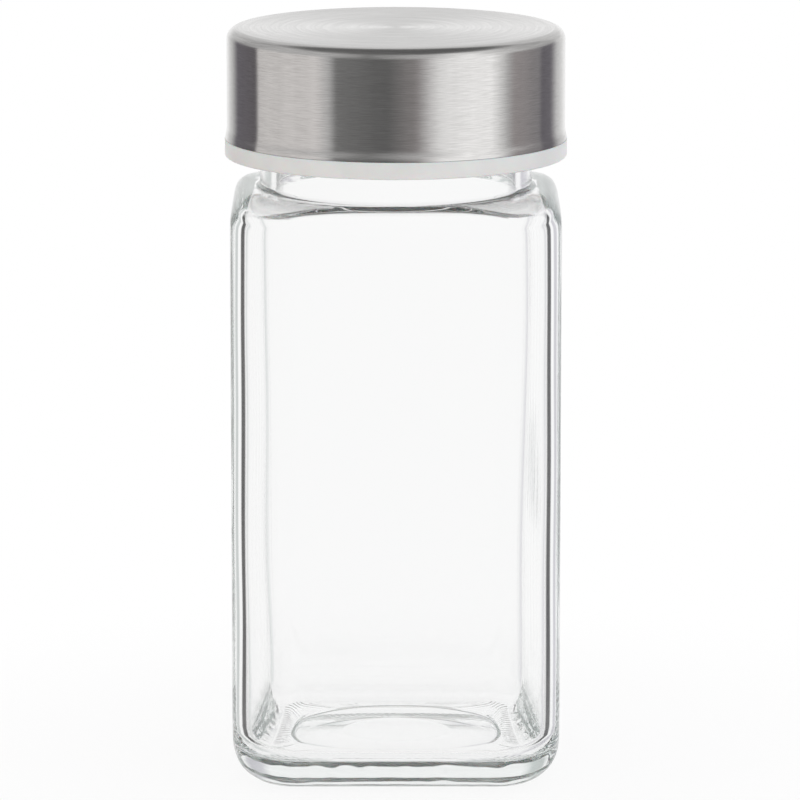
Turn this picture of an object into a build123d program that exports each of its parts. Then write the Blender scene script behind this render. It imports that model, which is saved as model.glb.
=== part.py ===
from build123d import *
import math
import os

# Square glass spice jar with a screw-on lid, in millimetres, +Z up.
# The origin is the centre of the base, on the surface that the jar stands on.
# The jar is one moulded piece of clear glass: a square body with rounded corners,
# a shoulder that bows down to the corners, and a round threaded neck. The lid is a
# moulded inner cap with the mating thread, a drawn steel shell pressed over it, and a
# soft sealing ring that the cap presses on the rim of the jar.

# Glass body
body_width = 48.0
body_corner_radius = 9.5
heel_radius = 6.3
shoulder_height = 86.4
shoulder_ledge = 4.1
shoulder_bow_radius = 22.0
bowed_strip = 0.3
side_wall = 2.2
inner_corner_radius = 8.6
floor_thickness = 4.6
inner_heel_radius = 3.6
shoulder_wall = 1.4
inner_bow_radius = 18.0
inner_bowed_strip = 0.2

# Underside of the glass
bearing_width = 1.3
push_up_step = 0.8
push_up_depth = 1.5
push_up_edge = 0.7
knurl_pitch = 1.2
knurl_radius = 0.42
knurl_depth = 0.3
knurl_length = 2.2
knurl_inset = 0.5

# Glass neck, its bead and its rim
neck_root_radius = 0.8
neck_wall = 2.3
mouth_root_radius = 1.8
level_ring = 0.2
rim_round = 0.85
bead_rise = 7.2
bead_reach = 1.15
bead_width = 2.4

# Screw thread, shared by the neck and the cap
thread_rise = 5.1
thread_lead = 4.2
thread_turns = 1.2
thread_depth = 1.3
thread_clearance = 0.35
glass_thread_root_width = 2.2
glass_thread_crest_width = 0.9
glass_thread_top = 2.6
cap_thread_root_width = 1.7
cap_thread_crest_width = 0.7
flank_gap = 0.15
steps_per_turn = 24
fade_share = 0.125
end_share = 0.05

# Sealing ring
seal_thickness = 1.4
seal_edge_round = 0.3
seal_side_gap = 0.15
seal_plug_gap = 0.3
face_gap = 0.05

# Moulded inner cap
cap_plate = 1.3
cap_skirt_wall = 1.1
plug_depth = 3.4
plug_wall = 1.2
plug_gap = 0.5
plug_round = 0.4
retainer_reach = 0.5
retainer_height = 0.6
retainer_gap = 0.12
collar_clearance = 4.45
collar_height = 2.5
collar_proud = 0.3
collar_wall = 1.2
collar_web = 1.2
collar_edge_round = 0.25
collar_ledge = 1.3
rib_count = 24
rib_width = 1.0
rib_depth = 1.65

# Drawn steel shell
shell_thickness = 0.4
shell_edge_radius = 1.6
shell_flare = 0.25
shell_flare_height = 0.9
shell_fit = 0.05

# How far a cut runs past a face, and how far joined forms sink into each other
overrun = 2.0
sink = 0.4

# Sizes of the glass that follow. The neck stands in from the flat sides by the ledge,
# and the rounded shoulder edges take the room between the sides and the level rings.
half_width = body_width / 2
neck_radius = half_width - shoulder_ledge
mouth_radius = neck_radius - neck_wall
bow_start = neck_radius + neck_root_radius + level_ring
inner_bow_start = mouth_radius + mouth_root_radius + level_ring
shoulder_edge_radius = half_width - bow_start - bowed_strip
inner_shoulder_radius = half_width - side_wall - inner_bow_start - inner_bowed_strip
push_up_radius = half_width - heel_radius - bearing_width
bead_height = shoulder_height + bead_rise
thread_start = bead_height + thread_rise
rim_height = thread_start + thread_turns * thread_lead + glass_thread_top
glass_crest = neck_radius + thread_depth

# Sizes of the lid that follow, outwards from the neck and upwards from the rim
cap_crest = neck_radius + thread_clearance
skirt_inner = glass_crest + thread_clearance
skirt_outer = skirt_inner + cap_skirt_wall
rib_reach = skirt_outer + rib_depth
shell_inner = rib_reach + shell_fit
shell_radius = shell_inner + shell_thickness
collar_radius = shell_radius + collar_proud
plug_outer = mouth_radius - plug_gap
plug_inner = plug_outer - plug_wall
seal_bottom = rim_height + face_gap
seal_top = seal_bottom + seal_thickness
plate_bottom = seal_top + face_gap
plate_top = plate_bottom + cap_plate
shell_top = plate_top + face_gap + shell_thickness
collar_bottom = shoulder_height + collar_clearance
collar_top = collar_bottom + collar_height
shell_bottom = collar_top + face_gap


def edges_at_height(form, height):
    """The edges of a form that lie flat at a height."""
    tolerance = sink / 100
    flat = []
    for edge in form.edges():
        box = edge.bounding_box()
        if abs(box.min.Z - height) < tolerance and abs(box.max.Z - height) < tolerance:
            flat.append(edge)
    return flat


def circle_at(form, radius, height):
    """The one round edge of a form with about this radius and height."""
    return [
        edge
        for edge in form.edges().filter_by(GeomType.CIRCLE)
        if abs(edge.radius - radius) < sink and abs(edge.center().Z - height) < sink
    ]


def edges_of_bow(form):
    """The edges where the bowed top of a form meets its upright sides and corners."""
    bows = form.faces().filter_by(GeomType.TORUS)
    return [edge for edge in bows.edges() if edge.geom_type not in (GeomType.LINE, GeomType.CIRCLE)]


def post(radius, bottom, top):
    """A round post, standing from bottom to top."""
    return Pos(0, 0, bottom) * Cylinder(
        radius, top - bottom, align=(Align.CENTER, Align.CENTER, Align.MIN)
    )


def bowed_block(width, corner, bottom, crown, start, bow):
    """A square block with rounded corners whose top is level in the middle.

    Outside the start radius the top curves down, all round, with the bow's radius.
    """
    plan = Plane.XY.offset(bottom) * RectangleRounded(width, width, corner)
    block = extrude(plan, crown + overrun - bottom)
    dome = post(start + bow, bottom - bow, crown)
    return block & fillet(edges_at_height(dome, crown), bow)


def helical_ridge(root, crest, root_width, crest_width, start):
    """A right-hand screw ridge between two radii, its ends running out into the wall.

    start is the height of the ridge's centre line where it begins, on the +X side.
    """
    steps = round(thread_turns * steps_per_turn)
    corners = {"foot_low": [], "crest_low": [], "crest_high": [], "foot_high": []}
    for i in range(steps + 1):
        angle = 2 * math.pi * i / steps_per_turn
        centre = start + thread_lead * i / steps_per_turn
        fade = min(1, min(i, steps - i) / (fade_share * steps_per_turn))
        height_share = end_share + (1 - end_share) * fade * fade * (3 - 2 * fade)
        reach = root + (crest - root) * height_share
        for name, radius, offset in (
            ("foot_low", root, -root_width / 2),
            ("crest_low", reach, -crest_width / 2),
            ("crest_high", reach, crest_width / 2),
            ("foot_high", root, root_width / 2),
        ):
            point = Vector(radius * math.cos(angle), radius * math.sin(angle), centre + offset)
            corners[name].append(point)
    around = list(corners) if crest > root else list(reversed(corners))
    lines = {name: Edge.make_spline(points) for name, points in corners.items()}
    faces = [
        Face.make_surface_from_curves(lines[a], lines[b])
        for a, b in zip(around, around[1:] + around[:1])
    ]
    faces += [Face(Wire.make_polygon([corners[name][end] for name in around])) for end in (0, -1)]
    return Solid(Shell(faces))


def glass_outside():
    """The outside of the jar, solid: body, shoulder, neck, bead and thread."""
    heel = min(heel_radius, body_corner_radius - sink)
    glass = bowed_block(
        body_width, body_corner_radius, 0, shoulder_height, bow_start, shoulder_bow_radius
    )
    glass = fillet(edges_at_height(glass, 0), heel)
    glass = fillet(edges_of_bow(glass), shoulder_edge_radius)
    glass += post(neck_radius, shoulder_height - shoulder_wall, rim_height)
    glass = fillet(circle_at(glass, neck_radius, shoulder_height), neck_root_radius)
    bead_foot = (neck_radius - sink, bead_height - bead_width / 2)
    bead_head = (neck_radius - sink, bead_height + bead_width / 2)
    bead_outline = [
        ThreePointArc(bead_foot, (neck_radius + bead_reach, bead_height), bead_head),
        Line(bead_head, bead_foot),
    ]
    glass += revolve(Plane.XZ * make_face(bead_outline), Axis.Z)
    glass = fillet(edges_at_height(glass, rim_height), rim_round)
    return glass + helical_ridge(
        neck_radius - sink,
        glass_crest,
        glass_thread_root_width,
        glass_thread_crest_width,
        thread_start,
    )


def glass_inside():
    """The space inside the jar, its mouth running out past the rim."""
    crown = shoulder_height - shoulder_wall
    width = body_width - 2 * side_wall
    space = bowed_block(
        width, inner_corner_radius, floor_thickness, crown, inner_bow_start, inner_bow_radius
    )
    space = fillet(edges_at_height(space, floor_thickness), inner_heel_radius)
    space = fillet(edges_of_bow(space), inner_shoulder_radius)
    space += post(mouth_radius, crown - inner_shoulder_radius, rim_height + overrun)
    return fillet(circle_at(space, mouth_radius, crown), mouth_root_radius)


def push_up():
    """The shallow round hollow under the base: a short tapered step under a low dome."""
    step_radius = push_up_radius - push_up_edge
    dome_height = push_up_depth - push_up_step
    dome_radius = (step_radius**2 + dome_height**2) / (2 * dome_height)
    dome = Pos(0, 0, push_up_depth - dome_radius) * Sphere(dome_radius)
    foot_radius = push_up_radius + push_up_edge * overrun / push_up_step
    taper = Pos(0, 0, -overrun) * Cone(
        foot_radius, step_radius, overrun + push_up_step, align=(Align.CENTER, Align.CENTER, Align.MIN)
    )
    return taper + (dome & post(step_radius, push_up_step - sink, push_up_depth + overrun))


def knurl_grooves():
    """The fine grooves across the bearing edge, evenly spaced round its square track."""
    half = half_width - heel_radius + knurl_inset
    corner = max(body_corner_radius - heel_radius + knurl_inset, knurl_length / 2)
    straight = 2 * (half - corner)
    quarter = straight + math.pi / 2 * corner
    count = round(quarter / knurl_pitch)
    groove = Rot(0, 90, 0) * Cylinder(knurl_radius, knurl_length)
    grooves = []
    for i in range(count):
        along = (i + 0.5) * quarter / count
        if along < straight:
            place = Pos(half, along - straight / 2, knurl_depth - knurl_radius)
        else:
            heading = math.degrees((along - straight) / corner)
            middle = Pos(half - corner, half - corner, knurl_depth - knurl_radius)
            place = middle * Rot(0, 0, heading) * Pos(corner, 0, 0)
        grooves += [Rot(0, 0, 90 * side) * place * groove for side in range(4)]
    return grooves


def glass_jar():
    """The whole jar: hollow, with its thread, its push-up and its knurled edge."""
    jar = glass_outside() - glass_inside()
    jar = fillet(circle_at(jar, mouth_radius, rim_height), rim_round)
    jar -= push_up()
    return jar - knurl_grooves()


def seal_ring():
    """The flat soft ring that the cap presses on the rim."""
    inner = plug_outer + seal_plug_gap
    outer = skirt_inner - seal_side_gap
    section = RectangleRounded(outer - inner, seal_thickness, seal_edge_round)
    middle = Pos((inner + outer) / 2, seal_bottom + seal_thickness / 2)
    return revolve(Plane.XZ * (middle * section), Axis.Z)


def inner_cap():
    """The moulded cap: top plate, plug lip, threaded skirt, ribs and the collar that shows."""
    plug_foot = plate_bottom - plug_depth
    web_bottom = collar_top - collar_web
    ledge_top = collar_top + collar_ledge
    outline = Polyline(
        (0, plate_top),
        (skirt_outer, plate_top),
        (skirt_outer, ledge_top),
        (rib_reach, ledge_top),
        (rib_reach, collar_top),
        (collar_radius, collar_top),
        (collar_radius, collar_bottom),
        (collar_radius - collar_wall, collar_bottom),
        (collar_radius - collar_wall, web_bottom),
        (skirt_outer, web_bottom),
        (skirt_outer, collar_bottom),
        (skirt_inner, collar_bottom),
        (skirt_inner, plate_bottom),
        (plug_outer, plate_bottom),
        (plug_outer, plug_foot),
        (plug_inner, plug_foot),
        (plug_inner, plate_bottom),
        (0, plate_bottom),
        close=True,
    )
    cap = revolve(Plane.XZ * make_face(outline), Axis.Z)
    cap = fillet(edges_at_height(cap, plug_foot), plug_round)
    cap = fillet(circle_at(cap, collar_radius, collar_bottom), collar_edge_round)
    rib = Pos((skirt_outer - sink + rib_reach) / 2, 0, collar_top) * Box(
        rib_reach - skirt_outer + sink,
        rib_width,
        plate_top - shell_edge_radius - collar_top,
        align=(Align.CENTER, Align.CENTER, Align.MIN),
    )
    cap += [Rot(0, 0, 360 * i / rib_count) * rib for i in range(rib_count)]
    retainer_top = seal_bottom - retainer_gap
    retainer = Polyline(
        (skirt_inner + sink, retainer_top),
        (skirt_inner - retainer_reach, retainer_top),
        (skirt_inner + sink, retainer_top - retainer_height),
        close=True,
    )
    cap += revolve(Plane.XZ * make_face(retainer), Axis.Z)
    widths = (
        glass_thread_root_width
        + glass_thread_crest_width
        + cap_thread_root_width
        + cap_thread_crest_width
    )
    return cap + helical_ridge(
        skirt_inner + sink,
        cap_crest,
        cap_thread_root_width,
        cap_thread_crest_width,
        thread_start - widths / 4 - flank_gap,
    )


def lid_shell():
    """The drawn steel cup over the cap, its rim spread a little over the collar."""
    outer_bend = shell_edge_radius
    inner_bend = shell_edge_radius - shell_thickness
    bend_centre = shell_radius - shell_edge_radius
    flare_top = shell_bottom + shell_flare_height
    underside = shell_top - shell_thickness
    section = make_face(
        [
            Line((0, shell_top), (bend_centre, shell_top)),
            RadiusArc((bend_centre, shell_top), (shell_radius, shell_top - outer_bend), outer_bend),
            Line((shell_radius, shell_top - outer_bend), (shell_radius, flare_top)),
            Line((shell_radius, flare_top), (shell_radius + shell_flare, shell_bottom)),
            Line((shell_radius + shell_flare, shell_bottom), (shell_inner + shell_flare, shell_bottom)),
            Line((shell_inner + shell_flare, shell_bottom), (shell_inner, flare_top)),
            Line((shell_inner, flare_top), (shell_inner, underside - inner_bend)),
            RadiusArc((shell_inner, underside - inner_bend), (bend_centre, underside), -inner_bend),
            Line((bend_centre, underside), (0, underside)),
            Line((0, underside), (0, shell_top)),
        ]
    )
    return revolve(Plane.XZ * section, Axis.Z)


pieces = {
    "glass_jar": glass_jar(),
    "seal_ring": seal_ring(),
    "inner_cap": inner_cap(),
    "lid_shell": lid_shell(),
}

os.makedirs("parts", exist_ok=True)
for name, piece in pieces.items():
    export_step(piece, f"parts/{name}.step")
    size = piece.bounding_box().size
    print(f"{name}: {piece.volume:.1f} mm3, {size.X:.2f} x {size.Y:.2f} x {size.Z:.2f}")
lift = rim_height - collar_bottom
print(f"heights: shoulder {shoulder_height:.3f}, rim {rim_height:.3f}, lid top {shell_top:.3f}")
print(f"the lid clears the rim after a rise of {lift:.2f}, {lift / thread_lead:.2f} turns")
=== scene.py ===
import math
import bmesh
import bpy
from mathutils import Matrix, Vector, noise


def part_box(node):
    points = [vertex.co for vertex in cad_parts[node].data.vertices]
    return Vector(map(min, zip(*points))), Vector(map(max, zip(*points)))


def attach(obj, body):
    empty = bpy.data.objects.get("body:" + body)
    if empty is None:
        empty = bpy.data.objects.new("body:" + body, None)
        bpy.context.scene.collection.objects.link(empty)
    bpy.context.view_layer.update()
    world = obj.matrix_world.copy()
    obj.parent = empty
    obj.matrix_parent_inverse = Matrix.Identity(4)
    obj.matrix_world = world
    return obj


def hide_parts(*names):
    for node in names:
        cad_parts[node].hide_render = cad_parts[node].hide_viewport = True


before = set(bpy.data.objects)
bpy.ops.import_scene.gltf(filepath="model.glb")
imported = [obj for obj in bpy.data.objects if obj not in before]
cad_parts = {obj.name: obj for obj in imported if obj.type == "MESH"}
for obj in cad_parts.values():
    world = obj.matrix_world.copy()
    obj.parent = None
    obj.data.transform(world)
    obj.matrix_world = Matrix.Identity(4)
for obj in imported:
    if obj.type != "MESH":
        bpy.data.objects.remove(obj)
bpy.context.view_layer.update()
mm = 0.001

# The glass jar is one piece of clear flint glass, blown in a mould. The mould
# leaves the outside true and square with round corners, and the breath leaves the
# inside a little uneven. The neck, thread and rim are pressed first.

jar_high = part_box("glass_jar")[1]
half_width = jar_high.x
rim_height = jar_high.z
corner_radius = 9.5 * mm
heel_radius = 6.3 * mm
shoulder_height = 86.4 * mm
shoulder_bow_radius = 25.0 * mm
shoulder_edge_radius = 2.8 * mm
shoulder_drop = 7.5 * mm
high_wall = 2.1 * mm
low_wall = 2.2 * mm
high_corner_radius = 7.6 * mm
low_corner_radius = 8.0 * mm
floor_thickness = 4.6 * mm
inner_heel_radius = 3.6 * mm
shoulder_wall = 1.25 * mm
inner_bow_radius = 20.0 * mm
inner_edge_radius = 1.2 * mm
inner_drop = 6.5 * mm
level_ring = 0.2 * mm
inner_level_ring = 1.1 * mm
neck_radius = 19.9 * mm
neck_root_radius = 0.6 * mm
neck_slack = 0.1 * mm
mouth_radius = 17.6 * mm
mouth_root_radius = 1.8 * mm
rim_round = 0.85 * mm
rim_band = 0.3 * mm
bead_height = 93.6 * mm
bead_reach = 1.15 * mm
bead_width = 2.4 * mm
thread_lead = 4.2 * mm
thread_turns = 1.2
thread_reach = 1.3 * mm
thread_root_width = 2.2 * mm
thread_crest_width = 0.9 * mm
thread_top_gap = 2.6 * mm
push_up_radius = 16.6 * mm
push_up_edge = 0.5 * mm
push_up_step = 0.7 * mm
push_up_lip = 0.05 * mm
push_up_depth = 1.6 * mm
knurl_depth = 0.3 * mm
knurl_length = 2.2 * mm
knurl_inset = 0.5 * mm
knurl_fade = 0.2 * mm
broad_ripple = 0.14 * mm
broad_ripple_size = 22 * mm
fine_ripple = 0.02 * mm
fine_ripple_size = 2.5 * mm
fine_ripple_length = 40 * mm
calm_height = 10 * mm
calm_rise = 15 * mm
heel_ripple = 0.12 * mm
heel_ripple_size = 2.8 * mm

full_turn = 2 * math.pi
quarter_turn = math.pi / 2
thread_run_out = full_turn / 8

arc_count = 16
straight_count = 12
quarter_count = arc_count + 2 * straight_count
ring_count = 4 * quarter_count
knurl_count = 5
wall_rows = 12
thread_rows = 24
mouth_rows = 7
heel_steps = 8
edge_steps = 6
root_steps = 3
bead_steps = 8
rim_steps = 4
mouth_root_steps = 5
inner_heel_steps = 6


def clamped(value):
    """A value held between 0 and 1."""
    return min(1.0, max(0.0, value))


def eased(share):
    """A share from 0 to 1 that starts and ends gently."""
    return share * share * (3 - 2 * share)


def even_heights(start, end, steps):
    """Heights in even steps, with both the start and the end."""
    return [start + (end - start) * i / steps for i in range(steps + 1)]


def round_ring(radius, height):
    """Points of a level circle, starting on +X."""
    turns = [full_turn * i / ring_count for i in range(ring_count)]
    return [Vector((radius * math.cos(turn), radius * math.sin(turn), height)) for turn in turns]


def bend_rings(radius, height, bend, start, end, steps):
    """Round rings along a bend about its centre, from one angle to another in degrees.

    At 0 the bend points outwards and at 90 upwards.
    """
    rings = []
    for i in range(steps + 1):
        turn = math.radians(start + (end - start) * i / steps)
        rings.append(round_ring(radius + bend * math.cos(turn), height + bend * math.sin(turn)))
    return rings


def square_ring(half, corner, height):
    """Points of a level square with round corners, starting on +X."""
    flat = half - corner
    points = []
    for i in range(ring_count):
        side, step = divmod(i, quarter_count)
        if step <= straight_count:
            x, y = half, flat * step / straight_count
        elif step < straight_count + arc_count:
            turn = quarter_turn * (step - straight_count) / arc_count
            x, y = flat + corner * math.cos(turn), flat + corner * math.sin(turn)
        else:
            x, y = flat * (quarter_count - step) / straight_count, half
        cos, sin = math.cos(quarter_turn * side), math.sin(quarter_turn * side)
        points.append(Vector((x * cos - y * sin, x * sin + y * cos, height)))
    return points


def between(ring_a, ring_b, share):
    """The ring that lies a share of the way from one ring to another."""
    return [a.lerp(b, share) for a, b in zip(ring_a, ring_b)]


def on_bow(ring, crown, start, bow):
    """The ring moved onto a surface that is level near the neck and bows down outside it."""
    past = [max(0.0, p.xy.length - start) for p in ring]
    return [Vector((p.x, p.y, crown - bow + math.sqrt(bow**2 - q**2))) for p, q in zip(ring, past)]


def round_edge(wall_ring, centre_ring, radius, crown, start, bow, steps):
    """Rings up the rounded edge between a wall and a bowed surface."""
    centres = on_bow(centre_ring, crown - radius, start, bow - radius)
    tilts = [math.acos(max(0.0, p.xy.length - start) / (bow - radius)) for p in centres]
    rings = []
    for i in range(steps + 1):
        ring = []
        for wall, centre, tilt in zip(wall_ring, centres, tilts):
            turn = tilt * i / steps
            x, y = centre.xy.lerp(wall.xy, math.cos(turn))
            ring.append(Vector((x, y, centre.z + radius * math.sin(turn))))
        rings.append(ring)
    return rings


def ring_key(vertex):
    """Sorts the points of a ring round the axis, from a little before +X."""
    early_share = 0.15
    turn = math.atan2(vertex.co.y, vertex.co.x)
    return (turn + early_share * full_turn / ring_count) % full_turn


def place_picked(points):
    """Moves the picked vertices to the points of a ring."""
    obj = bpy.context.edit_object
    picked = sorted((v for v in bmesh.from_edit_mesh(obj.data).verts if v.select), key=ring_key)
    for vertex, point in zip(picked, points):
        vertex.co = point
    bmesh.update_edit_mesh(obj.data)


def pick_open_edges():
    """Selects the open edges of the piece that is being edited, and nothing else."""
    bpy.ops.mesh.select_all(action="DESELECT")
    obj = bpy.context.edit_object
    for edge in bmesh.from_edit_mesh(obj.data).edges:
        edge.select_set(edge.is_boundary)
    bmesh.update_edit_mesh(obj.data)


def extruded_from_circle(name, rings, closed=False):
    """A new piece: a circle, extruded from ring to ring. It is left open for editing.

    A closed piece joins its last ring to its first, and any other is filled at both ends.
    """
    bpy.ops.object.select_all(action="DESELECT")
    bpy.ops.mesh.primitive_circle_add(vertices=ring_count, radius=rings[0][0].length)
    obj = bpy.context.object
    obj.name = obj.data.name = name
    bpy.ops.object.mode_set(mode="EDIT")
    bpy.ops.mesh.select_mode(type="EDGE")
    bpy.ops.mesh.select_all(action="SELECT")
    place_picked(rings[0])
    if not closed:
        bpy.ops.mesh.fill_grid(span=quarter_count)
        pick_open_edges()
    for ring in rings[1:]:
        bpy.ops.mesh.extrude_edges_move()
        place_picked(ring)
    if closed:
        pick_open_edges()
        bpy.ops.mesh.bridge_edge_loops()
    else:
        bpy.ops.mesh.fill_grid(span=quarter_count)
    bpy.ops.mesh.select_all(action="SELECT")
    bpy.ops.mesh.normals_make_consistent(inside=False)
    return obj


def finished(obj, *slots):
    """Leaves edit mode, applies the piece's modifiers and gives it its materials."""
    if bpy.context.mode != "OBJECT":
        bpy.ops.object.mode_set(mode="OBJECT")
    for modifier in list(obj.modifiers):
        bpy.ops.object.modifier_apply(modifier=modifier.name)
    obj.data.materials.clear()
    for material in slots:
        obj.data.materials.append(material)


def new_finish(name):
    """A new material, with its nodes, its links and its main shader."""
    finish = bpy.data.materials.new(name)
    finish.use_nodes = True
    tree = finish.node_tree
    return finish, tree.nodes, tree.links, tree.nodes["Principled BSDF"]


dome_rim = push_up_radius - push_up_edge
bow_start = neck_radius + neck_root_radius + level_ring
inner_bow_start = mouth_radius + mouth_root_radius + inner_level_ring
inner_crown = shoulder_height - shoulder_wall
inner_wall_top = inner_crown - inner_drop
inner_wall_foot = floor_thickness + inner_heel_radius
root_height = shoulder_height + neck_root_radius
bead_low = bead_height - bead_width / 2
thread_start = rim_height - thread_top_gap - thread_turns * thread_lead
thread_low = thread_start - thread_root_width
thread_high = rim_height - rim_round - rim_band
mouth_foot = inner_crown + mouth_root_radius

jar_rings = []
for share in (0.5, 0.7, 0.86, 0.96, 1.0):
    height = push_up_depth - (push_up_depth - push_up_step) * share**2
    jar_rings.append(round_ring(dome_rim * share, height))
jar_rings.append(round_ring(dome_rim + push_up_edge / 2, push_up_step / 2))
jar_rings.append(round_ring(push_up_radius, push_up_lip))
jar_rings.append(round_ring(push_up_radius + push_up_edge / 2, 0))
for i in range(heel_steps + 1):
    turn = quarter_turn * i / heel_steps
    tuck = heel_radius * (1 - math.sin(turn))
    height = heel_radius * (1 - math.cos(turn))
    jar_rings.append(square_ring(half_width - tuck, corner_radius - tuck, height))
for height in even_heights(heel_radius, shoulder_height - shoulder_drop, wall_rows)[1:]:
    jar_rings.append(square_ring(half_width, corner_radius, height))
jar_rings += round_edge(
    square_ring(half_width, corner_radius, 0),
    square_ring(half_width - shoulder_edge_radius, corner_radius - shoulder_edge_radius, 0),
    shoulder_edge_radius,
    shoulder_height,
    bow_start,
    shoulder_bow_radius,
    edge_steps,
)
shoulder_end = jar_rings[-1]
neck_foot = round_ring(neck_radius + neck_root_radius, 0)
for share in (0.25, 0.5, 0.75, 1.0):
    ring = between(shoulder_end, neck_foot, share)
    jar_rings.append(on_bow(ring, shoulder_height, bow_start, shoulder_bow_radius))
jar_rings += bend_rings(
    neck_radius + neck_root_radius, root_height, neck_root_radius, -90, -180, root_steps
)[1:]
for share in (0.4, 0.8):
    jar_rings.append(round_ring(neck_radius, root_height + (bead_low - root_height) * share))
for i in range(bead_steps + 1):
    turn = math.pi * i / bead_steps
    height = bead_height - bead_width / 2 * math.cos(turn)
    jar_rings.append(round_ring(neck_radius + bead_reach * math.sin(turn), height))
for height in even_heights(thread_low, thread_high, thread_rows):
    jar_rings.append(round_ring(neck_radius, height))
round_height = rim_height - rim_round
jar_rings += bend_rings(neck_radius - rim_round, round_height, rim_round, 0, 90, rim_steps)
jar_rings += bend_rings(mouth_radius + rim_round, round_height, rim_round, 90, 180, rim_steps)
for height in even_heights(round_height, mouth_foot, mouth_rows)[1:]:
    jar_rings.append(round_ring(mouth_radius, height))
jar_rings += bend_rings(
    mouth_radius + mouth_root_radius, mouth_foot, mouth_root_radius, 180, 270, mouth_root_steps
)[1:]


def inner_ring(height, tuck=0.0):
    """The square ring of the inside at a height, where the blown wall grows thicker downwards."""
    share = eased(clamped((inner_wall_top - height) / (inner_wall_top - inner_wall_foot)))
    half = half_width - high_wall + (high_wall - low_wall) * share
    corner = high_corner_radius + (low_corner_radius - high_corner_radius) * share
    return square_ring(half - tuck, corner - tuck, height)


inner_edge = round_edge(
    inner_ring(inner_wall_top),
    inner_ring(inner_wall_top, inner_edge_radius),
    inner_edge_radius,
    inner_crown,
    inner_bow_start,
    inner_bow_radius,
    edge_steps,
)
inner_edge.reverse()
under_shoulder = jar_rings[-1]
for share in (0.25, 0.5, 0.75):
    ring = between(under_shoulder, inner_edge[0], share)
    jar_rings.append(on_bow(ring, inner_crown, inner_bow_start, inner_bow_radius))
jar_rings += inner_edge
for height in even_heights(inner_wall_top, inner_wall_foot, wall_rows):
    jar_rings.append(inner_ring(height))
for i in range(1, inner_heel_steps + 1):
    turn = quarter_turn * i / inner_heel_steps
    tuck = inner_heel_radius * (1 - math.cos(turn))
    jar_rings.append(inner_ring(inner_wall_foot - inner_heel_radius * math.sin(turn), tuck))
floor_middle = round_ring(dome_rim / 2, floor_thickness)
floor_edge = jar_rings[-1]
for share in (0.25, 0.5, 0.75, 1.0):
    jar_rings.append(between(floor_edge, floor_middle, share))

jar = extruded_from_circle("clear_glass_jar", jar_rings)
smooth = jar.modifiers.new("smooth", "SUBSURF")
smooth.levels = smooth.render_levels = 1

glass, nodes, links, body = new_finish("clear_flint_glass")
body.inputs["Base Color"].default_value = (1, 1, 1, 1)
body.inputs["Roughness"].default_value = 0.0
body.inputs["IOR"].default_value = 1.52
body.inputs["Transmission Weight"].default_value = 1.0
tint = nodes.new("ShaderNodeVolumeAbsorption")
tint.inputs["Color"].default_value = (0.86, 0.89, 0.88, 1)
tint.inputs["Density"].default_value = 16.0
links.new(tint.outputs["Volume"], nodes["Material Output"].inputs["Volume"])
finished(jar, glass)

corner_place = half_width - corner_radius
knurl_half = half_width - heel_radius + knurl_inset
knurl_pitch = corner_place / straight_count
inside_reach = corner_radius - high_wall / 2


def knurl_groove(x, y):
    """How deep the grooves across the bearing edge are at a place, from 0 to 1."""
    side, along = max(abs(x), abs(y)), min(abs(x), abs(y))
    wave = along / knurl_pitch
    offset = side - knurl_half
    if along > corner_place:
        turn = math.atan2(along - corner_place, side - corner_place)
        wave = knurl_count * turn / quarter_turn
        offset = math.hypot(along - corner_place, side - corner_place) - (knurl_half - corner_place)
    fade = clamped((knurl_length / 2 + knurl_fade - abs(offset)) / (2 * knurl_fade))
    return fade * (1 - math.cos(full_turn * wave)) / 2


def thread_rise(turn, height):
    """How far the thread stands out of the neck at a place, from 0 to 1."""
    rise = 0.0
    for lap in range(math.ceil(thread_turns)):
        along = turn + full_turn * lap
        left = full_turn * thread_turns - along
        if left > 0:
            gap = abs(height - thread_start - thread_lead * along / full_turn)
            flank = (thread_root_width / 2 - gap) / (thread_root_width - thread_crest_width) * 2
            fade = eased(min(1.0, along / thread_run_out, left / thread_run_out))
            rise = max(rise, clamped(flank) * fade)
    return eased(rise)


# Breath leaves the inside wavy, and less so near the floor. The mould leaves small waves
# half way up the heel, the grooves in the bearing edge and the thread on the neck.
facings = [vertex.normal.copy() for vertex in jar.data.vertices]
for vertex, facing in zip(jar.data.vertices, facings):
    past = Vector((max(0, abs(vertex.co.x) - corner_place), max(0, abs(vertex.co.y) - corner_place)))
    if past.length < inside_reach and floor_thickness / 2 < vertex.co.z < inner_crown:
        calm = clamped((vertex.co.z - calm_height) / calm_rise)
        broad = calm * noise.noise(vertex.co / broad_ripple_size)
        spot = vertex.co / fine_ripple_size
        spot.z = vertex.co.z / fine_ripple_length
        vertex.co += facing * (broad_ripple * broad + calm * fine_ripple * noise.noise(spot))
    elif knurl_depth < vertex.co.z < heel_radius and vertex.co.xy.length > push_up_radius:
        share = vertex.co.z / heel_radius
        wave = abs(noise.noise(vertex.co / heel_ripple_size))
        vertex.co -= facing * heel_ripple * 4 * share * (1 - share) * wave
    if vertex.co.z < knurl_depth and vertex.co.xy.length > push_up_radius:
        vertex.co.z += knurl_depth * knurl_groove(vertex.co.x, vertex.co.y)
    reach = vertex.co.xy.length
    if abs(reach - neck_radius) < neck_slack and thread_low < vertex.co.z < thread_high:
        turn = math.atan2(vertex.co.y, vertex.co.x) % full_turn
        vertex.co.xy *= (reach + thread_reach * thread_rise(turn, vertex.co.z)) / reach
bpy.ops.object.shade_smooth()
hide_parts("glass_jar")
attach(jar, "jar")

# The sealing ring is punched from soft white foam and lies under the cap's plate,
# held by a small bead. It presses on the rim when the lid is tight.

seal_low, seal_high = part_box("seal_ring")
seal_outer = seal_high.x
seal_inner = 17.4 * mm
seal_round = 0.3 * mm
seal_steps = 3
foam_cell = 0.35 * mm

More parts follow.
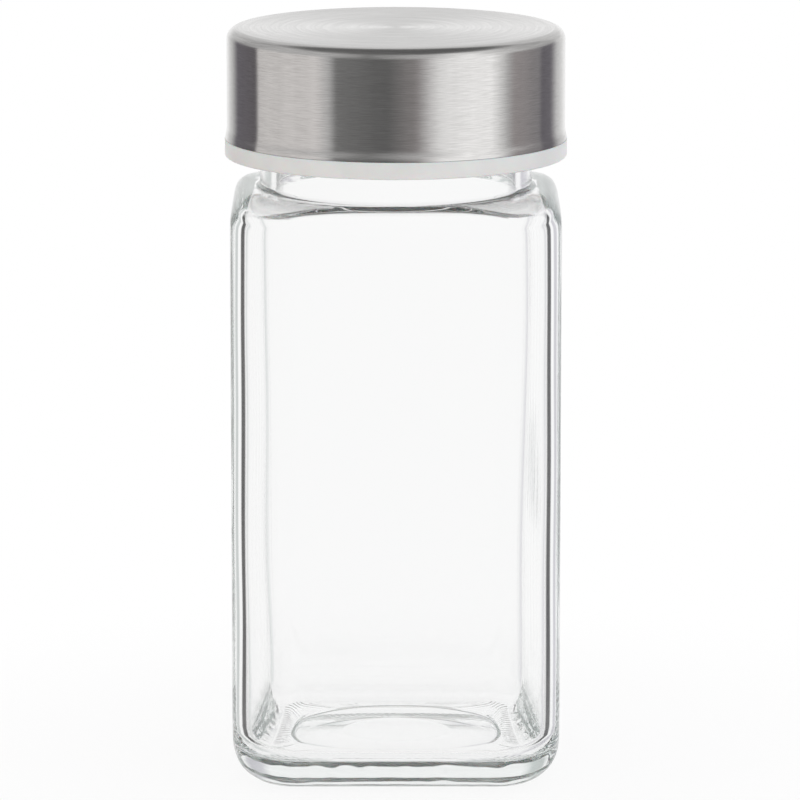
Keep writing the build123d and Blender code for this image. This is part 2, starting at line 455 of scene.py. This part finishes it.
seal_rings = []
for radius, height, start in (
    (seal_outer - seal_round, seal_low.z + seal_round, -90),
    (seal_outer - seal_round, seal_high.z - seal_round, 0),
    (seal_inner + seal_round, seal_high.z - seal_round, 90),
    (seal_inner + seal_round, seal_low.z + seal_round, 180),
):
    seal_rings += bend_rings(radius, height, seal_round, start, start + 90, seal_steps)
seal = extruded_from_circle("seal_foam_ring", seal_rings, closed=True)


def toned(source, low, high):
    """A colour that follows a socket, from one place and colour to another."""
    ramp = nodes.new("ShaderNodeValToRGB")
    for element, (place, colour) in zip(ramp.color_ramp.elements, (low, high)):
        element.position = place
        element.color = (*colour, 1)
    links.new(source, ramp.inputs["Fac"])
    return ramp.outputs["Color"]


def dented(source, strength, depth, invert=False):
    """Dents the surface of the finish where a socket is low, or where it is high if inverted."""
    bump = nodes.new("ShaderNodeBump")
    bump.invert = invert
    bump.inputs["Strength"].default_value = strength
    bump.inputs["Distance"].default_value = depth
    links.new(source, bump.inputs["Height"])
    links.new(bump.outputs["Normal"], body.inputs["Normal"])


foam, nodes, links, body = new_finish("soft_white_foam")
body.inputs["Roughness"].default_value = 0.7
place = nodes.new("ShaderNodeTexCoord")
cells = nodes.new("ShaderNodeTexVoronoi")
cells.inputs["Scale"].default_value = 1 / foam_cell
links.new(place.outputs["Object"], cells.inputs["Vector"])
shade = toned(cells.outputs["Distance"], (0.0, (0.90, 0.90, 0.88)), (1.0, (0.84, 0.84, 0.82)))
links.new(shade, body.inputs["Base Color"])
dented(cells.outputs["Distance"], 0.3, foam_cell / 4, invert=True)
finished(seal, foam)
bpy.ops.object.shade_smooth()
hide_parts("seal_ring")
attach(seal, "seal")

# The steel shell is drawn from thin sheet, brushed in circles on a lathe, and
# pressed over the plastic cap. Its rim is spread a little over the cap's collar.

shell_low, shell_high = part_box("lid_shell")
shell_flare = 0.25 * mm
shell_radius = shell_high.x - shell_flare
shell_top = shell_high.z
shell_bottom = shell_low.z
shell_thickness = 0.4 * mm
shell_bend = 1.6 * mm
bend_steps = 8
flare_height = 1.7 * mm
flare_steps = 6
under_plate_share = 0.4
sharp_angle = math.radians(40)
brush_depth = 0.02 * mm

inner_bend = shell_bend - shell_thickness
bend_reach = shell_radius - shell_bend
bend_height = shell_top - shell_bend
flare_top = shell_bottom + flare_height


def flare_rings(radius):
    """Rings down the spread rim, on the outer or the inner face of the sheet."""
    rings = []
    for i in range(flare_steps + 1):
        share = i / flare_steps
        rings.append(round_ring(radius + shell_flare * eased(share), flare_top - flare_height * share))
    return rings


shell_rings = []
for share in (0.25, 0.5, 0.75, 0.92):
    shell_rings.append(round_ring(bend_reach * share, shell_top))
shell_rings += bend_rings(bend_reach, bend_height, shell_bend, 90, 0, bend_steps)
for share in (0.3, 0.6, 0.9):
    shell_rings.append(round_ring(shell_radius, bend_height + (flare_top - bend_height) * share))
shell_rings += flare_rings(shell_radius)
shell_rings += reversed(flare_rings(shell_radius - shell_thickness))
shell_rings += bend_rings(bend_reach, bend_height, inner_bend, 0, 90, bend_steps)
shell_rings.append(round_ring(bend_reach * under_plate_share, shell_top - shell_thickness))
shell = extruded_from_circle("brushed_steel_shell", shell_rings)


def maths(operation, a, b=None):
    """A maths node between sockets or numbers."""
    node = nodes.new("ShaderNodeMath")
    node.operation = operation
    for i, value in enumerate((a, b)):
        if isinstance(value, (int, float)):
            node.inputs[i].default_value = value
        elif value is not None:
            links.new(value, node.inputs[i])
    return node.outputs[0]


def mapped(source, start, end, low, high, curve="LINEAR"):
    """A value that goes from low to high while a socket goes from start to end."""
    node = nodes.new("ShaderNodeMapRange")
    node.interpolation_type = curve
    node.inputs["From Min"].default_value = start
    node.inputs["From Max"].default_value = end
    node.inputs["To Min"].default_value = low
    node.inputs["To Max"].default_value = high
    links.new(source, node.inputs["Value"])
    return node.outputs["Result"]


steel, nodes, links, body = new_finish("brushed_steel")
body.inputs["Metallic"].default_value = 1.0
body.inputs["Anisotropic"].default_value = 0.95
body.inputs["Anisotropic Rotation"].default_value = 0.25
place = nodes.new("ShaderNodeTexCoord")
split = nodes.new("ShaderNodeSeparateXYZ")
links.new(place.outputs["Object"], split.inputs[0])
flat = nodes.new("ShaderNodeCombineXYZ")
links.new(split.outputs["X"], flat.inputs["X"])
links.new(split.outputs["Y"], flat.inputs["Y"])
reach = nodes.new("ShaderNodeVectorMath")
reach.operation = "LENGTH"
links.new(flat.outputs[0], reach.inputs[0])
across = maths("SUBTRACT", reach.outputs["Value"], split.outputs["Z"])


def brushed_lines(distance, across_scale, along_scale):
    """Noise drawn out along the brushing: fine across it and long along it."""
    vector = nodes.new("ShaderNodeCombineXYZ")
    for axis, source, scale in (
        ("X", split.outputs["X"], along_scale),
        ("Y", split.outputs["Y"], along_scale),
        ("Z", distance, across_scale),
    ):
        links.new(maths("MULTIPLY", source, scale), vector.inputs[axis])
    lines = nodes.new("ShaderNodeTexNoise")
    lines.inputs["Scale"].default_value = 1.0
    lines.inputs["Detail"].default_value = 4.0
    lines.inputs["Roughness"].default_value = 0.6
    links.new(vector.outputs[0], lines.inputs["Vector"])
    return lines.outputs["Fac"]


fine = brushed_lines(across, across_scale=14000.0, along_scale=420.0)
coarse = brushed_lines(across, across_scale=7000.0, along_scale=140.0)
turned = brushed_lines(reach.outputs["Value"], across_scale=2200.0, along_scale=60.0)

# The sockets of a colour mix, by number: its two colours and its result.
first_colour, second_colour, mixed_colour = 6, 7, 2
tone = nodes.new("ShaderNodeMix")
tone.data_type = "RGBA"
tone.blend_type = "MULTIPLY"
tone.inputs["Factor"].default_value = 1.0
shade = toned(fine, (0.3, (0.60, 0.59, 0.58)), (0.7, (0.80, 0.79, 0.78)))
links.new(shade, tone.inputs[first_colour])
shade = toned(turned, (0.35, (0.80, 0.80, 0.80)), (0.65, (1.0, 1.0, 1.0)))
links.new(shade, tone.inputs[second_colour])
links.new(tone.outputs[mixed_colour], body.inputs["Base Color"])
links.new(mapped(coarse, 0.3, 0.7, 0.13, 0.17), body.inputs["Roughness"])
dented(fine, 0.15, brush_depth)
tangent = nodes.new("ShaderNodeTangent")
tangent.direction_type = "RADIAL"
tangent.axis = "Z"
links.new(tangent.outputs["Tangent"], body.inputs["Tangent"])
finished(shell, steel)
bpy.ops.object.shade_smooth_by_angle(angle=sharp_angle)
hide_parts("lid_shell")
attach(shell, "lid")

# The inner cap is moulded in natural polypropylene, cloudy white. It carries the
# thread, the plug lip and the ribs that hold the shell, and its collar shows.

cloud_size = 6.0 * mm
grain_size = 0.3 * mm
grain_depth = 0.01 * mm
light_reach = 1.5 * mm

plastic, nodes, links, body = new_finish("natural_polypropylene")
body.inputs["Subsurface Weight"].default_value = 0.3
body.inputs["Subsurface Scale"].default_value = light_reach
place = nodes.new("ShaderNodeTexCoord")
cloud = nodes.new("ShaderNodeTexNoise")
cloud.inputs["Scale"].default_value = 1 / cloud_size
cloud.inputs["Detail"].default_value = 3.0
links.new(place.outputs["Object"], cloud.inputs["Vector"])
shade = toned(cloud.outputs["Fac"], (0.3, (0.74, 0.74, 0.73)), (0.7, (0.80, 0.80, 0.79)))
links.new(shade, body.inputs["Base Color"])
grain = nodes.new("ShaderNodeTexNoise")
grain.inputs["Scale"].default_value = 1 / grain_size
links.new(place.outputs["Object"], grain.inputs["Vector"])
links.new(mapped(grain.outputs["Fac"], 0.0, 1.0, 0.32, 0.46), body.inputs["Roughness"])
dented(grain.outputs["Fac"], 0.1, grain_depth)
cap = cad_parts["inner_cap"]
for place in cap.material_slots:
    place.material = plastic

# The floor is a plain pale sheet. Away from the jar it melts into the white room, and
# near the jar it keeps a soft shadow.

floor_radius = 150 * mm
floor_corners = 96
floor_drop = 0.05 * mm
shadow_radius = 40 * mm
shadow_end = 110 * mm
near_clear_share = 0.91

bpy.ops.object.select_all(action="DESELECT")
bpy.ops.mesh.primitive_circle_add(
    vertices=floor_corners, radius=floor_radius, fill_type="NGON", location=(0, 0, -floor_drop)
)
floor = bpy.context.object
floor.name = "floor"
paper, nodes, links, body = new_finish("pale_floor")
body.inputs["Base Color"].default_value = (0.90, 0.90, 0.90, 1)
body.inputs["Roughness"].default_value = 0.9
body.inputs["Specular IOR Level"].default_value = 0.1
place = nodes.new("ShaderNodeTexCoord")
reach = nodes.new("ShaderNodeVectorMath")
reach.operation = "LENGTH"
links.new(place.outputs["Object"], reach.inputs[0])
melt = mapped(
    reach.outputs["Value"], shadow_radius, shadow_end, near_clear_share, 1.0, "SMOOTHSTEP"
)
path = nodes.new("ShaderNodeLightPath")
not_diffuse = maths("SUBTRACT", 1.0, path.outputs["Is Diffuse Ray"])
clear = nodes.new("ShaderNodeBsdfTransparent")
mix = nodes.new("ShaderNodeMixShader")
links.new(maths("MULTIPLY", melt, not_diffuse), mix.inputs["Fac"])
links.new(body.outputs[0], mix.inputs[1])
links.new(clear.outputs[0], mix.inputs[2])
links.new(mix.outputs[0], nodes["Material Output"].inputs["Surface"])
floor.data.materials.append(paper)

# The studio: a white sweep behind, a large bright panel to the right of the camera, a
# pale wall to its left, and dark room between them and overhead. Brushed steel and satin
# plastic reflect all of it.

world = bpy.data.worlds.new("studio")
bpy.context.scene.world = world
world.use_nodes = True
nodes, links = world.node_tree.nodes, world.node_tree.links
nodes.clear()
out = nodes.new("ShaderNodeOutputWorld")
way = nodes.new("ShaderNodeTexCoord")
split = nodes.new("ShaderNodeSeparateXYZ")
links.new(way.outputs["Generated"], split.inputs[0])

half_circle = 180
degrees = half_circle / math.pi
ahead = maths("MULTIPLY", split.outputs["Y"], -1.0)
bearing = maths("MULTIPLY", maths("ARCTAN2", split.outputs["X"], ahead), degrees)
rise = maths("MULTIPLY", maths("ARCSINE", split.outputs["Z"]), degrees)


def walls(shades):
    """The colour all round a room, from bearings in degrees and grey or coloured shades.

    A bearing of 0 is behind the camera, 90 to its right and 180 behind the jar.
    """
    ramp = nodes.new("ShaderNodeValToRGB")
    while len(ramp.color_ramp.elements) < len(shades):
        ramp.color_ramp.elements.new(0.5)
    for element, (place, shade) in zip(ramp.color_ramp.elements, shades):
        element.position = (place + half_circle) / (2 * half_circle)
        element.color = (*shade, 1) if isinstance(shade, tuple) else (shade, shade, shade, 1)
    share = maths("DIVIDE", maths("ADD", bearing, half_circle), 2 * half_circle)
    links.new(share, ramp.inputs["Fac"])
    return ramp.outputs["Color"]


def faded(low_colour, high_colour, source, start, end):
    """One colour below a start, another past an end, and a smooth change between."""
    mixed = nodes.new("ShaderNodeMix")
    mixed.data_type = "RGBA"
    links.new(mapped(source, start, end, 0.0, 1.0, "SMOOTHSTEP"), mixed.inputs["Factor"])
    for number, colour in ((first_colour, low_colour), (second_colour, high_colour)):
        if isinstance(colour, tuple):
            mixed.inputs[number].default_value = (*colour, 1)
        else:
            links.new(colour, mixed.inputs[number])
    return mixed.outputs[mixed_colour]


def sky(colour):
    """A background of one colour or socket."""
    shader = nodes.new("ShaderNodeBackground")
    if isinstance(colour, tuple):
        shader.inputs["Color"].default_value = (*colour, 1)
    else:
        links.new(colour, shader.inputs["Color"])
    return shader.outputs[0]


def either(test, shader_off, shader_on):
    """One shader or another, by a ray test."""
    mixed = nodes.new("ShaderNodeMixShader")
    links.new(test, mixed.inputs["Fac"])
    links.new(shader_off, mixed.inputs[1])
    links.new(shader_on, mixed.inputs[2])
    return mixed.outputs[0]


steel_room = walls(
    (
        (-180, 1.0),
        (-162, 0.95),
        (-146, 0.55),
        (-137, (0.17, 0.16, 0.18)),
        (-110, (0.14, 0.13, 0.14)),
        (-107, (0.74, 0.72, 0.71)),
        (-56, (0.94, 0.91, 0.90)),
        (-47, 0.70),
        (-41, 0.24),
        (-5, 0.15),
        (14, (0.32, 0.30, 0.30)),
        (31, 1.15),
        (68, 1.2),
        (82, 0.55),
        (88, (0.40, 0.37, 0.37)),
        (114, (0.28, 0.27, 0.28)),
        (118, (0.17, 0.16, 0.18)),
        (131, (0.19, 0.18, 0.20)),
        (142, 0.68),
        (162, 0.95),
        (180, 1.0),
    )
)
high_room = walls(
    (
        (-180, 0.78),
        (-150, 0.66),
        (-130, 0.46),
        (-100, 0.60),
        (-50, 0.66),
        (-20, 0.30),
        (20, 0.66),
        (50, 1.15),
        (80, 0.85),
        (110, 0.55),
        (135, 0.50),
        (150, 0.70),
        (180, 0.78),
    )
)
steel_room = faded(steel_room, high_room, rise, 4, 14)
steel_room = faded(steel_room, (0.16, 0.16, 0.16), rise, 42, 58)
glass_room = walls(
    (
        (-180, 0.97),
        (-166, 0.97),
        (-158, (0.60, 0.64, 0.63)),
        (-146, (0.54, 0.57, 0.56)),
        (-141, 1.0),
        (-134, 0.95),
        (-131, 0.05),
        (-122, 0.05),
        (-119, 0.85),
        (119, 0.85),
        (122, 0.05),
        (131, 0.05),
        (134, 0.95),
        (141, 1.0),
        (146, (0.57, 0.56, 0.60)),
        (158, (0.62, 0.61, 0.65)),
        (166, 0.97),
        (180, 0.97),
    )
)
glass_room = faded(glass_room, (0.80, 0.79, 0.78), rise, 40, 55)
glass_room = faded((0.95, 0.95, 0.95), glass_room, rise, -60, -40)
plain_room = walls(
    (
        (-180, 0.95),
        (-120, (0.78, 0.75, 0.73)),
        (-60, (0.80, 0.77, 0.74)),
        (0, 0.97),
        (60, 0.96),
        (120, (0.87, 0.87, 0.94)),
        (180, 0.95),
    )
)
plain_room = faded((0.72, 0.72, 0.72), plain_room, rise, -50, 5)

# Polished glass reflects a plainer room. The room seen through the glass has dark strips
# that draw its edges, and the camera sees plain white.
path = nodes.new("ShaderNodeLightPath")
light = either(path.outputs["Is Singular Ray"], sky(steel_room), sky(plain_room))
light = either(path.outputs["Is Glossy Ray"], sky(plain_room), light)
light = either(path.outputs["Is Transmission Ray"], light, sky(glass_room))
light = either(path.outputs["Is Camera Ray"], light, sky((1.0, 1.0, 1.0)))
links.new(light, out.inputs["Surface"])

bounce_count = 96
bpy.context.scene.cycles.max_bounces = bounce_count
bpy.context.scene.cycles.glossy_bounces = bounce_count
bpy.context.scene.cycles.transmission_bounces = bounce_count
bpy.context.scene.cycles.transparent_max_bounces = bounce_count

# The camera stands in front and a little above, as in the photograph. Its dip is in
# radians, and its long lens is measured in pixels of the image.

image_width = 800
camera_distance = 862.4 * mm
camera_height = 221.6 * mm
camera_dip = 0.1918
focal_pixels = 5948.0
middle_column = 395.95
camera_data = bpy.data.cameras.new("camera")
camera = bpy.data.objects.new("camera", camera_data)
bpy.context.scene.collection.objects.link(camera)
camera.location = (0, -camera_distance, camera_height)
camera.rotation_euler = (quarter_turn - camera_dip, 0, 0)
camera_data.sensor_width = 36.0
camera_data.lens = camera_data.sensor_width * focal_pixels / image_width
camera_data.shift_x = 0.5 - middle_column / image_width
camera_data.clip_start = 10 * mm
camera_data.clip_end = 10.0
bpy.context.scene.camera = camera
bpy.context.scene.view_settings.view_transform = "Standard"
